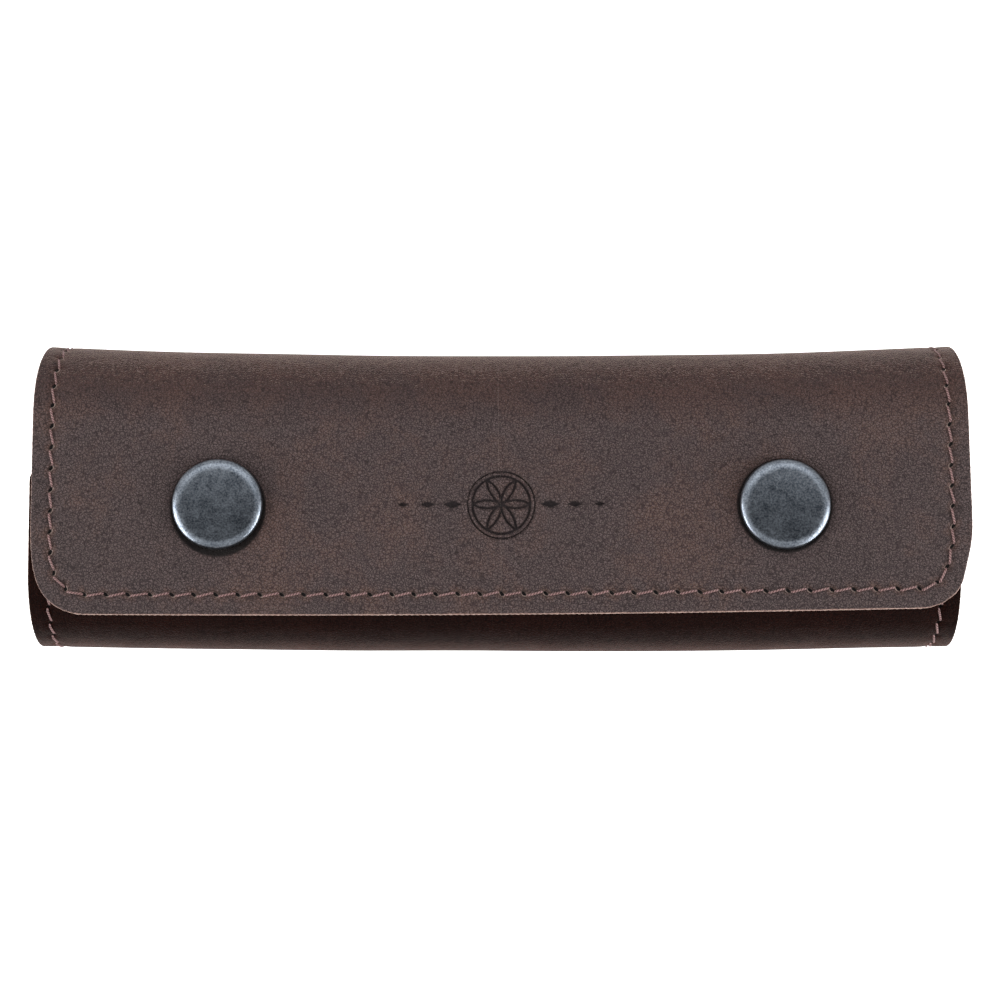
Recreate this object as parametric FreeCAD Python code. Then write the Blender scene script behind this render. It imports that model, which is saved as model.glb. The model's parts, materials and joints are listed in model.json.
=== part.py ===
"""Leather brush roll case: one long sheet of thick leather, lined, that rolls over a row of brushes.

The case lies on its back. X runs along the roll, Y across it towards the top bend, and Z up through the flap.
The sheet is modelled as flat panels and bent strips. Neighbouring strips turn about a line just outside the
leather, so the roll opens until the whole sheet lies flat.
"""

import FreeCAD, Part
import math
import os

Vector = FreeCAD.Vector

# Sheet, in millimetres and degrees
LENGTH = 205.0
BACK_WIDTH = 33.0
TOP_RADIUS = 17.5
TOP_TURN = 172.0
BOTTOM_RADIUS = 16.5
BOTTOM_TURN = 184.0
STRIPS = 5
FLAP_ROOT = 8.0
FLAP_LENGTH = 42.9
FLAP_CORNER = 12.0
FRONT_LENGTH = 22.4
STRIP_GAP = 0.3

# Layers
COVER = 1.8
LINING = 0.8
LINING_INSET = 1.0
POCKET = 0.8

# Brush loops
LOOP_BORE = 7.4
LOOP_OPENING = 4.8
POCKET_START = -88.0
POCKET_END = 12.0
FRONT_POCKET_START = -50.0
LOOP_PITCH = 10.0
LOOP_FROM_BOTTOM = 7.5
LOOP_FROM_TOP = 4.5
FRONT_LOOP = 7.2

# Seam
SEAM_INSET = 4.2
STITCH_PITCH = 4.9
STITCH = 3.6
THREAD = 0.9
THREAD_DEPTH = 0.6

# Snaps
SNAP_SPACING = 123.4
SNAP_FROM_ROOT = 20.2
CAP_RADIUS = 9.85
CAP_HEIGHT = 2.1
CAP_RIM = 0.9
POST_RADIUS = 1.3
POST_CLEARANCE = 0.05
LEATHER_HOLE = 1.6
SOCKET_RADIUS = 5.5
SOCKET_BORE = 2.9
SOCKET_HEIGHT = 1.5
SOCKET_BASE = 0.4
FLARE_RADIUS = 1.9
FLARE = 0.3
SPRING_WIRE = 0.2
STUD_BASE_RADIUS = 4.5
STUD_BASE = 0.5
STUD_RADIUS = 2.0
STUD_HEIGHT = 1.6
STUD_BORE_DEPTH = 1.0
RIVET_RADIUS = 4.5
RIVET_HEAD = 0.7

SHEET = COVER + LINING
TOP_STEP = TOP_TURN / STRIPS
BOTTOM_STEP = BOTTOM_TURN / STRIPS
BACK_MIDDLE = (BOTTOM_RADIUS - TOP_RADIUS) / 2
LOOP_OUTER = LOOP_BORE / 2 + POCKET


class Place:
    """A point on the outer surface with X along the roll, Y along the sheet and Z square to it."""

    def __init__(self, y, z, along_y, along_z, inward):
        self.inward = inward
        along = Vector(0, along_y, along_z)
        square = Vector(1, 0, 0).cross(along)
        turn = FreeCAD.Rotation(Vector(1, 0, 0), along, square, "XYZ")
        self.placement = FreeCAD.Placement(Vector(0, y, z), turn)

    def put(self, shape):
        """Carry a shape from local coordinates to the case."""
        placed = shape.copy()
        placed.transformShape(self.placement.toMatrix(), True)
        return placed

    def block(self, x0, x1, s0, s1, depth0, depth1):
        """A block between two lengths, two distances along the sheet and two depths from the outer surface."""
        low, high = sorted((depth0 * self.inward, depth1 * self.inward))
        return self.put(Part.makeBox(x1 - x0, s1 - s0, high - low, Vector(x0, s0, low)))

    def disc(self, x, s, radius, depth0, depth1):
        """A round plate or hole, square to the sheet."""
        low, high = sorted((depth0 * self.inward, depth1 * self.inward))
        return self.put(Part.makeCylinder(radius, high - low, Vector(x, s, low), Vector(0, 0, 1)))

    def ring(self, x, s, radius, wire, depth):
        """A ring of round wire, square to the sheet."""
        return self.put(Part.makeTorus(radius, wire, Vector(x, s, depth * self.inward), Vector(0, 0, 1)))

    def rod(self, s, depth, radius, x0, x1):
        """A round bar along the roll."""
        start = Vector(x0, s, depth * self.inward)
        return self.put(Part.makeCylinder(radius, x1 - x0, start, Vector(1, 0, 0)))

    def stitch(self, x, s, heading, depth0, depth1):
        """One stitch, its length turned by heading degrees from the sheet's direction."""
        low, high = sorted((depth0 * self.inward, depth1 * self.inward))
        bar = Part.makeBox(THREAD, STITCH, high - low, Vector(-THREAD / 2, -STITCH / 2, low))
        bar.rotate(Vector(0, 0, 0), Vector(0, 0, 1), heading)
        bar.translate(Vector(x, s, 0))
        return self.put(bar)


class Bend:
    """One round bend of the sheet; turn 0 is where it leaves the back."""

    def __init__(self, centre_y, radius, sense):
        self.centre_y, self.radius, self.sense = centre_y, radius, sense

    def angle(self, turn):
        return math.radians(-90 + self.sense * turn)

    def point(self, turn, depth):
        reach = self.radius - depth
        angle = self.angle(turn)
        return Vector(0, self.centre_y + reach * math.cos(angle), self.radius + reach * math.sin(angle))

    def place(self, turn):
        start, angle = self.point(turn, 0), self.angle(turn)
        return Place(start.y, start.z, -self.sense * math.sin(angle), self.sense * math.cos(angle), self.sense)

    def strip(self, turn0, turn1, depth0, depth1, x0, x1):
        """A bent strip with half the gap left at each of its two long edges."""
        edge = math.degrees(STRIP_GAP / 2 / self.radius)
        turn0, turn1 = turn0 + edge, turn1 - edge
        middle = (turn0 + turn1) / 2
        corners = [self.point(turn, depth) for turn, depth in
                   ((turn0, depth0), (turn1, depth0), (turn1, depth1), (turn0, depth1))]
        outline = Part.Wire([
            Part.Arc(corners[0], self.point(middle, depth0), corners[1]).toShape(),
            Part.makeLine(corners[1], corners[2]),
            Part.Arc(corners[2], self.point(middle, depth1), corners[3]).toShape(),
            Part.makeLine(corners[3], corners[0]),
        ])
        solid = Part.Face(outline).extrude(Vector(x1 - x0, 0, 0))
        solid.translate(Vector(x0, 0, 0))
        return solid

    def hollow(self, depth, x0, x1):
        """The round space inside the sheet at a depth."""
        start = Vector(x0, self.centre_y, self.radius)
        return Part.makeCylinder(self.radius - depth, x1 - x0, start, Vector(1, 0, 0))


TOP = Bend(BACK_MIDDLE + BACK_WIDTH / 2, TOP_RADIUS, 1)
BOTTOM = Bend(BACK_MIDDLE - BACK_WIDTH / 2, BOTTOM_RADIUS, -1)
BACK = Place(BACK_MIDDLE, 0, 1, 0, 1)
FLAP = TOP.place(TOP_TURN)
FRONT = BOTTOM.place(BOTTOM_TURN)


def fuse_all(shapes):
    """Join a list of touching solids into one."""
    return shapes[0].multiFuse(shapes[1:]).removeSplitter() if len(shapes) > 1 else shapes[0]


def half(inset):
    """Half the length of a layer that stops short of the cover's ends."""
    return LENGTH / 2 - inset


def round_free_corners(place, panel, length, radius, width):
    """Round the two corners of a panel's free end."""
    corners = [place.placement.multVec(Vector(x, length, 0)) for x in (-width / 2, width / 2)]
    axis = place.placement.Rotation.multVec(Vector(0, 0, 1))
    chosen = [edge for edge in panel.Edges
              if any(edge.CenterOfMass.sub(c).cross(axis).Length < 0.01 for c in corners)]
    return panel.makeFillet(radius, chosen)


def side_stitches(place, distances):
    """Stitches along both ends of the roll at the given distances along the sheet."""
    x = half(SEAM_INSET)
    return [place.stitch(side * x, s, 0, -1.0, THREAD_DEPTH) for s in distances for side in (-1, 1)]


def spaced(start, end):
    """Even places for stitches between two distances, about one pitch apart."""
    count = max(1, round((end - start) / STITCH_PITCH))
    step = (end - start) / count
    return [start + step * (i + 0.5) for i in range(count)]


def sew(cover, stitches):
    """Split a cover into leather and the thread that lies flush in it."""
    tool = Part.makeCompound(stitches)
    return cover.cut(tool), cover.common(tool)


def loops(web, place, distances, hollow, x0, x1):
    """Raise brush loops from a pocket web: each is a leather tunnel standing on two seams."""
    depth = SHEET + LOOP_BORE / 2
    body = web
    for s in distances:
        body = body.fuse(place.rod(s, depth, LOOP_OUTER, x0, x1).common(hollow))
    for s in distances:
        body = body.cut(place.rod(s, depth, LOOP_BORE / 2, x0 - 1, x1 + 1))
        mouth = LOOP_OPENING / 2
        body = body.cut(place.block(x0 - 1, x1 + 1, s - mouth, s + mouth, SHEET - 0.5, depth))
    return body.removeSplitter()


def back_loops():
    """Brush loops on the flat of the back, clear of the loops and the lining in the bends."""
    first = -BACK_WIDTH / 2 + LOOP_FROM_BOTTOM
    room = BACK_WIDTH / 2 - LOOP_FROM_TOP - first
    return [first + i * LOOP_PITCH for i in range(1 + int(room / LOOP_PITCH))]


def make_back():
    reach = BACK_WIDTH / 2 - STRIP_GAP / 2
    cover = BACK.block(-half(0), half(0), -reach, reach, 0, COVER)
    lining = BACK.block(-half(LINING_INSET), half(LINING_INSET), -reach, reach, COVER, SHEET)
    web = BACK.block(POCKET_START, POCKET_END, -reach, reach, SHEET, SHEET + POCKET)
    above = BACK.block(POCKET_START, POCKET_END, -BACK_WIDTH, BACK_WIDTH, SHEET, SHEET + 3 * LOOP_BORE)
    leather, thread = sew(cover, side_stitches(BACK, spaced(-reach, reach)))
    return {
        "cover_back": leather,
        "seam_back": thread,
        "lining_back": lining,
        "pocket_back": loops(web, BACK, back_loops(), above, POCKET_START, POCKET_END),
    }


def make_bend(bend, name, step, pockets):
    """The strips of one bend, from the back outwards."""
    nodes = {}
    for i in range(STRIPS):
        turn0, turn1 = i * step, (i + 1) * step
        middle = bend.place((turn0 + turn1) / 2)
        reach = math.radians(step) * bend.radius / 2
        cover = bend.strip(turn0, turn1, 0, COVER, -half(0), half(0))
        leather, thread = sew(cover, side_stitches(middle, spaced(-reach, reach)))
        label = f"{name}_{i + 1}"
        nodes["cover_" + label] = leather
        nodes["seam_" + label] = thread
        nodes["lining_" + label] = bend.strip(
            turn0, turn1, COVER, SHEET, -half(LINING_INSET), half(LINING_INSET))
        if pockets:
            web = bend.strip(turn0, turn1, SHEET, SHEET + POCKET, POCKET_START, POCKET_END)
            hollow = bend.hollow(SHEET, POCKET_START, POCKET_END)
            centres = (0,) if i % 2 == 0 else ()
            nodes["pocket_" + label] = loops(web, middle, centres, hollow, POCKET_START, POCKET_END)
    return nodes


def flap_seam():
    """Stitches down both sides of the flap, round its corners and along its free edge."""
    x = half(SEAM_INSET)
    last = FLAP_LENGTH - SEAM_INSET
    turn_radius = FLAP_CORNER - SEAM_INSET
    stitches = side_stitches(FLAP, spaced(FLAP_ROOT, last - turn_radius))
    corner = turn_radius * math.pi / 2
    for distance in spaced(0, corner):
        angle = distance / turn_radius
        for side in (-1, 1):
            across = side * (x - turn_radius + turn_radius * math.cos(angle))
            along = last - turn_radius + turn_radius * math.sin(angle)
            stitches.append(FLAP.stitch(across, along, side * math.degrees(angle), -1.0, THREAD_DEPTH))
    for across in spaced(-x + turn_radius, x - turn_radius):
        stitches.append(FLAP.stitch(across, last, 90, -1.0, THREAD_DEPTH))
    return stitches


def make_flap_root():
    start, end = STRIP_GAP / 2, FLAP_ROOT - STRIP_GAP / 2
    cover = FLAP.block(-half(0), half(0), start, end, 0, COVER)
    leather, thread = sew(cover, side_stitches(FLAP, spaced(0, FLAP_ROOT)))
    return {
        "cover_flap_root": leather,
        "seam_flap_root": thread,
        "lining_flap_root": FLAP.block(-half(LINING_INSET), half(LINING_INSET), start, end, COVER, SHEET),
    }


def snap_places():
    return [side * SNAP_SPACING / 2 for side in (-1, 1)]


def make_flap():
    start = FLAP_ROOT + STRIP_GAP / 2
    cover = FLAP.block(-half(0), half(0), start, FLAP_LENGTH, 0, COVER)
    cover = round_free_corners(FLAP, cover, FLAP_LENGTH, FLAP_CORNER, LENGTH)
    end = FLAP_LENGTH - LINING_INSET
    inner = half(LINING_INSET)
    lining = FLAP.block(-inner, inner, start, end, COVER, SHEET)
    lining = round_free_corners(FLAP, lining, end, FLAP_CORNER - LINING_INSET, 2 * inner)
    for x in snap_places():
        hole = FLAP.disc(x, SNAP_FROM_ROOT, LEATHER_HOLE, -1, SHEET + 1)
        cover, lining = cover.cut(hole), lining.cut(hole)
    leather, thread = sew(cover, flap_seam())
    return {"cover_flap": leather, "seam_flap": thread, "lining_flap": lining}


def make_front():
    start = STRIP_GAP / 2
    inner = half(LINING_INSET)
    cover = FRONT.block(-half(0), half(0), start, FRONT_LENGTH, 0, COVER)
    lining = FRONT.block(-inner, inner, start, FRONT_LENGTH - LINING_INSET, COVER, SHEET)
    snap = stud_distance()
    web = FRONT.block(FRONT_POCKET_START, POCKET_END, start, FRONT_LENGTH - LINING_INSET,
                      SHEET, SHEET + POCKET)
    above = FRONT.block(FRONT_POCKET_START, POCKET_END, -BACK_WIDTH, BACK_WIDTH, SHEET, SHEET + 3 * LOOP_BORE)
    for x in snap_places():
        hole = FRONT.disc(x, snap, LEATHER_HOLE, -1, SHEET + 1)
        cover, lining = cover.cut(hole), lining.cut(hole)
    edge_x = half(SEAM_INSET)
    stitches = side_stitches(FRONT, spaced(start, FRONT_LENGTH - SEAM_INSET))
    for across in spaced(-edge_x, edge_x):
        stitches.append(FRONT.stitch(across, FRONT_LENGTH - SEAM_INSET, 90, -1.0, THREAD_DEPTH))
    leather, thread = sew(cover, stitches)
    return {
        "cover_front": leather,
        "seam_front": thread,
        "lining_front": lining,
        "pocket_front": loops(web, FRONT, (FRONT_LOOP,), above, FRONT_POCKET_START, POCKET_END),
    }


def stud_distance():
    """Where the snap's axis, square to the flap, meets the front panel's outer surface."""
    root = FLAP.placement.multVec(Vector(0, SNAP_FROM_ROOT, 0))
    axis = FLAP.placement.Rotation.multVec(Vector(0, 0, 1))
    local = FRONT.placement.inverse()
    start, step = local.multVec(root), local.Rotation.multVec(axis)
    return start.y - step.y * start.z / step.z


def cap(x):
    """A domed cap with a rolled rim, on a post through the flap that is flared inside the socket."""
    rise = CAP_HEIGHT - CAP_RIM
    dome_radius = (CAP_RADIUS ** 2 + rise ** 2) / (2 * rise)
    drum = FLAP.disc(x, SNAP_FROM_ROOT, CAP_RADIUS, 0, -CAP_HEIGHT)
    centre = FLAP.placement.multVec(Vector(x, SNAP_FROM_ROOT, dome_radius - CAP_HEIGHT))
    head = drum.common(Part.makeSphere(dome_radius, centre))
    inside = SHEET + SOCKET_BASE
    post = FLAP.disc(x, SNAP_FROM_ROOT, POST_RADIUS, -CAP_RIM / 2, inside + FLARE)
    flare = FLAP.disc(x, SNAP_FROM_ROOT, FLARE_RADIUS, inside, inside + FLARE)
    return fuse_all([head, post, flare])


def socket(x):
    """The cup under the flap that takes the stud."""
    cup = FLAP.disc(x, SNAP_FROM_ROOT, SOCKET_RADIUS, SHEET, SHEET + SOCKET_HEIGHT)
    cup = cup.cut(FLAP.disc(x, SNAP_FROM_ROOT, SOCKET_BORE, SHEET + SOCKET_BASE, SHEET + 2 * SOCKET_HEIGHT))
    return cup.cut(FLAP.disc(x, SNAP_FROM_ROOT, POST_RADIUS + POST_CLEARANCE, 0, 2 * SHEET))


def spring(x):
    """The ring of wire in the socket's mouth that grips the stud."""
    return FLAP.ring(x, SNAP_FROM_ROOT, SOCKET_BORE - SPRING_WIRE - POST_CLEARANCE, SPRING_WIRE,
                     SHEET + SOCKET_HEIGHT - 2 * SPRING_WIRE)


def stud(x, s):
    """The stud on the front panel, riveted from behind."""
    base = FRONT.disc(x, s, STUD_BASE_RADIUS, 0, -STUD_BASE)
    head = FRONT.disc(x, s, STUD_RADIUS, 0, -STUD_HEIGHT)
    bore = FRONT.disc(x, s, POST_RADIUS + POST_CLEARANCE, 1, -STUD_BORE_DEPTH)
    return base.fuse(head).cut(bore).removeSplitter()


def rivet(x, s):
    """The rivet behind the front panel, its post inside the stud."""
    head = FRONT.disc(x, s, RIVET_RADIUS, SHEET, SHEET + RIVET_HEAD)
    post = FRONT.disc(x, s, POST_RADIUS, SHEET + RIVET_HEAD / 2, POST_CLEARANCE - STUD_BORE_DEPTH)
    return fuse_all([head, post])


def make_snaps():
    s = stud_distance()
    return {
        "snap_caps": Part.makeCompound([cap(x) for x in snap_places()]),
        "snap_sockets": Part.makeCompound([socket(x) for x in snap_places()]),
        "snap_springs": Part.makeCompound([spring(x) for x in snap_places()]),
        "snap_studs": Part.makeCompound([stud(x, s) for x in snap_places()]),
        "snap_rivets": Part.makeCompound([rivet(x, s) for x in snap_places()]),
    }


def main():
    os.makedirs("parts", exist_ok=True)
    nodes = {}
    nodes.update(make_back())
    nodes.update(make_bend(TOP, "top", TOP_STEP, False))
    nodes.update(make_bend(BOTTOM, "bottom", BOTTOM_STEP, True))
    nodes.update(make_flap_root())
    nodes.update(make_flap())
    nodes.update(make_front())
    nodes.update(make_snaps())
    for name, shape in nodes.items():
        bad = [solid for solid in shape.Solids if not solid.isValid() or solid.Volume < 0.01]
        if bad or not shape.Solids:
            raise RuntimeError(f"{name} has a broken solid")
        shape.exportStep(f"parts/{name}.step")
        print(f"{name}: {len(shape.Solids)} solids, {shape.Volume / 1000:.2f} cm3")


main()
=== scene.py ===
# %% [markdown]
# # A leather brush roll case
#
# The case is one sheet of thick waxed leather, lined, that rolls once round a row of brushes. Its flap closes over the
# front with two snaps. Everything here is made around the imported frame: the frame says where each panel, bend and snap
# is, and this script gives them leather, thread and metal.

# %% Load the frame
import json
import math

import bmesh
import bpy
import numpy as np
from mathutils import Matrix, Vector

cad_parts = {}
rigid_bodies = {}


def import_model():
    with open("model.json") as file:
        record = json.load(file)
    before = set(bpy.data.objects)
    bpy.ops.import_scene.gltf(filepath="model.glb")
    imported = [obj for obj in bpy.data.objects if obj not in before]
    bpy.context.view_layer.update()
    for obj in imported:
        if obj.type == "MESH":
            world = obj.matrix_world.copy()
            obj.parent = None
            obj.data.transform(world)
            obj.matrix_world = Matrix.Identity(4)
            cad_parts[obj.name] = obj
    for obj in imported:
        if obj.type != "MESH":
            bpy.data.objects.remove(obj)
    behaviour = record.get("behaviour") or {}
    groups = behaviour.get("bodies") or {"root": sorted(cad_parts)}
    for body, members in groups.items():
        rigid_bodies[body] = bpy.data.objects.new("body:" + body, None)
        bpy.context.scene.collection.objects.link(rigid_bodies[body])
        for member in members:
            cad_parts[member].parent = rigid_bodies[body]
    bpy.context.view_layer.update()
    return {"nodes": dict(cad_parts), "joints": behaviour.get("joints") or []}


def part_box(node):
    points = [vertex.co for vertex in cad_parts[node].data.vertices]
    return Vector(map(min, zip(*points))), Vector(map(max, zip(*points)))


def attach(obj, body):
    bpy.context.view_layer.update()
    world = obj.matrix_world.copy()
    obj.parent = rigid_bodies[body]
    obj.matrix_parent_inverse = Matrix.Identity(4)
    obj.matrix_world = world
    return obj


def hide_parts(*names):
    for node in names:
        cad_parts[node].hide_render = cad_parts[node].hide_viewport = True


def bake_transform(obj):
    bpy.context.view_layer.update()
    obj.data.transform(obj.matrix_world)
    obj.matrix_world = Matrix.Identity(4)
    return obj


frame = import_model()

MM = 0.001


def in_scene(name, data):
    """A new object, linked into the scene."""
    thing = bpy.data.objects.new(name, data)
    bpy.context.scene.collection.objects.link(thing)
    return thing

# %% [markdown]
# ## Camera
#
# The roll lies on its back and is looked at from straight above its flap, from about half a metre away, so the sides of
# the bends fall away a little in perspective.

# %% Camera
EYE_HEIGHT = 487 * MM
EYE_X, EYE_Y = -0.3 * MM, -0.25 * MM
LENS = 74.5

camera = in_scene("camera", bpy.data.cameras.new("camera"))
camera.location = (EYE_X, EYE_Y, EYE_HEIGHT)
camera.data.lens = LENS
camera.data.clip_start = 0.01
bpy.context.scene.camera = camera

# %% [markdown]
# ## The sheet's path
#
# Seen from its end, the sheet is a flat back, two round bends and two straight panels. The hinges of the frame lie on
# two circles round the bends, so the circles, and with them the whole path, are worked out from the hinges. A point of
# the sheet is then named by three numbers: x along the roll, s along the sheet from the middle of the back, and the
# depth under the outer surface. The flap side has positive s, and the front panel's side has negative s.

# %% Bends, from the frame's hinges
hinges = {joint["child"]: joint for joint in frame["joints"]}


def bodies_from_back(last):
    """The bodies from the back to the last one, in the order in which the sheet passes them."""
    order = [last]
    while order[0] != "back":
        order.insert(0, hinges[order[0]]["parent"])
    return order


def node_reach(node, origin, along):
    """How far a node goes from a point in a direction across the roll."""
    return max((v.co.y - origin[0]) * along[0] + (v.co.z - origin[1]) * along[1]
               for v in frame["nodes"][node].data.vertices)


class Side:
    """Half of the sheet: from the middle of the back round one bend to a free end."""

    def __init__(self, last, sense, bent):
        self.last, self.sense, self.bent = last, sense, bent
        self.bodies = bodies_from_back(last)
        (y1, z1), (y2, z2), (y3, z3) = [hinges[bent[i]]["pos_m"][1:] for i in (0, len(bent) // 2, -1)]
        a = np.array([[y2 - y1, z2 - z1], [y3 - y1, z3 - z1]]) * 2
        b = np.array([y2 ** 2 - y1 ** 2 + z2 ** 2 - z1 ** 2, y3 ** 2 - y1 ** 2 + z3 ** 2 - z1 ** 2])
        self.centre_y, self.radius = np.linalg.solve(a, b)
        self.turn = math.radians(sum(hinges[body]["range_deg"][1] for body in bent))

    def finish(self, back_middle):
        """Where along the sheet the bend, the hinges and the free end are, from the middle of the back."""
        self.bend_start = abs(self.centre_y - back_middle)
        self.bend_end = self.bend_start + self.radius * self.turn
        origin, along, _ = self.at(np.array([self.bend_end]))
        self.length = self.bend_end + node_reach("cover_" + self.last, origin[0], along[0])
        step = self.radius * self.turn / (len(self.bent) - 1)
        self.hinge_s = {body: self.bend_start + step * i for i, body in enumerate(self.bent)}
        for body in self.bodies[1:]:
            if body not in self.hinge_s:
                from_bend = np.array(hinges[body]["pos_m"][1:]) - origin[0]
                self.hinge_s[body] = self.bend_end + float(from_bend @ along[0])

    def at(self, s):
        """Points (y, z) of the outer surface, with directions along the sheet and outwards."""
        s = np.asarray(s, float)
        angle = np.clip((s - self.bend_start) / self.radius, 0, self.turn)
        direction = np.stack([self.sense * np.cos(angle), np.sin(angle)], -1)
        outward = np.stack([self.sense * np.sin(angle), -np.cos(angle)], -1)
        centre = np.array([self.centre_y, self.radius])
        straight = np.where(s < self.bend_start, s - self.bend_start, np.maximum(s - self.bend_end, 0))
        return centre + self.radius * outward + straight[..., None] * direction, direction, outward


flap_side = Side("flap", 1, [b for b in bodies_from_back("flap") if b.startswith("top_")] + ["flap_root"])
front_side = Side("front", -1, [b for b in bodies_from_back("front") if b.startswith("bottom_")] + ["front"])
for side in (flap_side, front_side):
    side.finish((flap_side.centre_y + front_side.centre_y) / 2)
    print(side.last, "bend radius", round(side.radius / MM, 2), "turn", round(math.degrees(side.turn), 1),
          "reach", round(side.length / MM, 1))

# %% [markdown]
# ## How real leather departs from the plan
#
# A hand-made roll is never quite true. This one is bowed, because its ends spread more than its middle, its front panel
# has slipped sideways a little, and its surface waves by a tenth of a millimetre or two. One function places every
# point, so leather, lining, thread and holes all follow the same shape.

# %% Shape of the sheet
HALF_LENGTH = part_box("cover_back")[1].x
LINING_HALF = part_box("lining_back")[1].x
back_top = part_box("cover_back")[1].z
lining_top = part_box("lining_back")[1].z
SPAN = flap_side.radius + front_side.radius
BOW_TOP, BOW_BOTTOM, BOW_STILL = 2.3 * MM, 1.1 * MM, 0.55
SAG_BOTTOM = 0.5 * MM
PULLED_IN, PULLED_IN_AT_RIM, RIM_REACH = 0.002, 0.007, 13 * MM
CURL_LEFT, CURL_RIGHT = 0.6 * MM, 1.3 * MM
CURL_FROM_EDGE, CURL_REACH, CURL_START = 9 * MM, 5 * MM, 0.82 * HALF_LENGTH
SLIP_TOP, SLIP_FRONT, SLIP_FLAP = -0.25 * MM, 1.5 * MM, 0.35 * MM
SLIP_REACH = 10 * MM
FLAP_TILT, TILT_REACH = 0.75 * MM, 20 * MM
WAVE = 0.16 * MM
WAVES = ((47, 31, 0.6, 0.45), (83, -59, 2.1, 0.30), (139, 101, 4.0, 0.15), (23, -131, 1.1, 0.35))
WAVES_FADE = 2 * MM, 12 * MM
CAP_TO_BOX = 0.995

cap_low, cap_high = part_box("snap_caps")
CAP_RADIUS = (cap_high.y - cap_low.y) / 2 / CAP_TO_BOX
CAP_X = (cap_high.x - cap_low.x) / 2 - CAP_RADIUS
flap_from, flap_along, _ = flap_side.at(flap_side.bend_end)
cap_s = flap_side.bend_end + float(((cap_low.y + cap_high.y) / 2 - flap_from[0]) * flap_along[0])


def smooth(low, high, value):
    """0 below low, 1 above high, and an even S between them."""
    t = np.clip((value - low) / (high - low), 0, 1)
    return t * t * (3 - 2 * t)


def waves(x, s):
    """Long shallow waves of the leather, different at each end and side."""
    return sum(np.sin(x * along + s * across + start) * share for along, across, start, share in WAVES)


def sheet_point(side, x, s, depth):
    """Where a point of the sheet lies at rest."""
    x, s, depth = np.broadcast_arrays(np.asarray(x, float), np.asarray(s, float), np.asarray(depth, float))
    point, direction, outward = side.at(s)
    rise = waves(x, s * side.sense) * WAVE * smooth(*WAVES_FADE, point[..., 1]) - depth
    y = point[..., 0] + outward[..., 0] * rise
    z = point[..., 1] + outward[..., 1] * rise
    bow = (x / HALF_LENGTH) ** 2 - BOW_STILL
    y = y + np.where(y > 0, bow * BOW_TOP, bow * BOW_BOTTOM - SAG_BOTTOM) * np.clip(np.abs(y) / SPAN, 0, 1)
    slipped = smooth(0, side.bend_start + SLIP_REACH, s)
    if side is front_side:
        return np.stack([x - SLIP_FRONT * slipped, y, z], -1)
    rim = side.bend_start + side.radius * math.pi / 2
    x = x * (1 - PULLED_IN * smooth(0, rim, s) - PULLED_IN_AT_RIM * np.exp(-((s - rim) / RIM_REACH) ** 2))
    curl = np.exp(-((s - side.length + CURL_FROM_EDGE) / CURL_REACH) ** 2)
    x = x + curl * smooth(CURL_START, HALF_LENGTH, np.abs(x)) * np.where(x < 0, CURL_LEFT, -CURL_RIGHT)
    past = smooth(side.bend_end - TILT_REACH, side.length, s)
    x = x + SLIP_FLAP * past + SLIP_TOP * slipped
    return np.stack([x, y + FLAP_TILT * past * x / HALF_LENGTH, z], -1)


def sheet_frame(side, x, s, depth=0.0):
    """The point, and unit directions along x, along s and outwards."""
    x, s, nudge = np.asarray(x), np.asarray(s), 0.05 * MM
    along_x = sheet_point(side, x + nudge, s, depth) - sheet_point(side, x - nudge, s, depth)
    along_s = sheet_point(side, x, s + nudge, depth) - sheet_point(side, x, s - nudge, depth)
    along_x = along_x / np.linalg.norm(along_x, axis=-1, keepdims=True)
    along_s = along_s / np.linalg.norm(along_s, axis=-1, keepdims=True)
    normal = np.cross(along_s, along_x) * side.sense
    normal = normal / np.linalg.norm(normal, axis=-1, keepdims=True)
    return sheet_point(side, x, s, depth), along_x, along_s, normal


# %% [markdown]
# ## Seam line
#
# One seam runs up each end of the sheet and round the flap's free edge, and a second one holds the front panel's free
# edge. Each is a list of stitches at an even pitch: a place on the sheet and a heading.

# %% Seams
SEAM_INSET = 4.25 * MM
SIDE_PITCH, EDGE_PITCH = 4.45 * MM, 4.87 * MM
CORNER = 12 * MM


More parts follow.
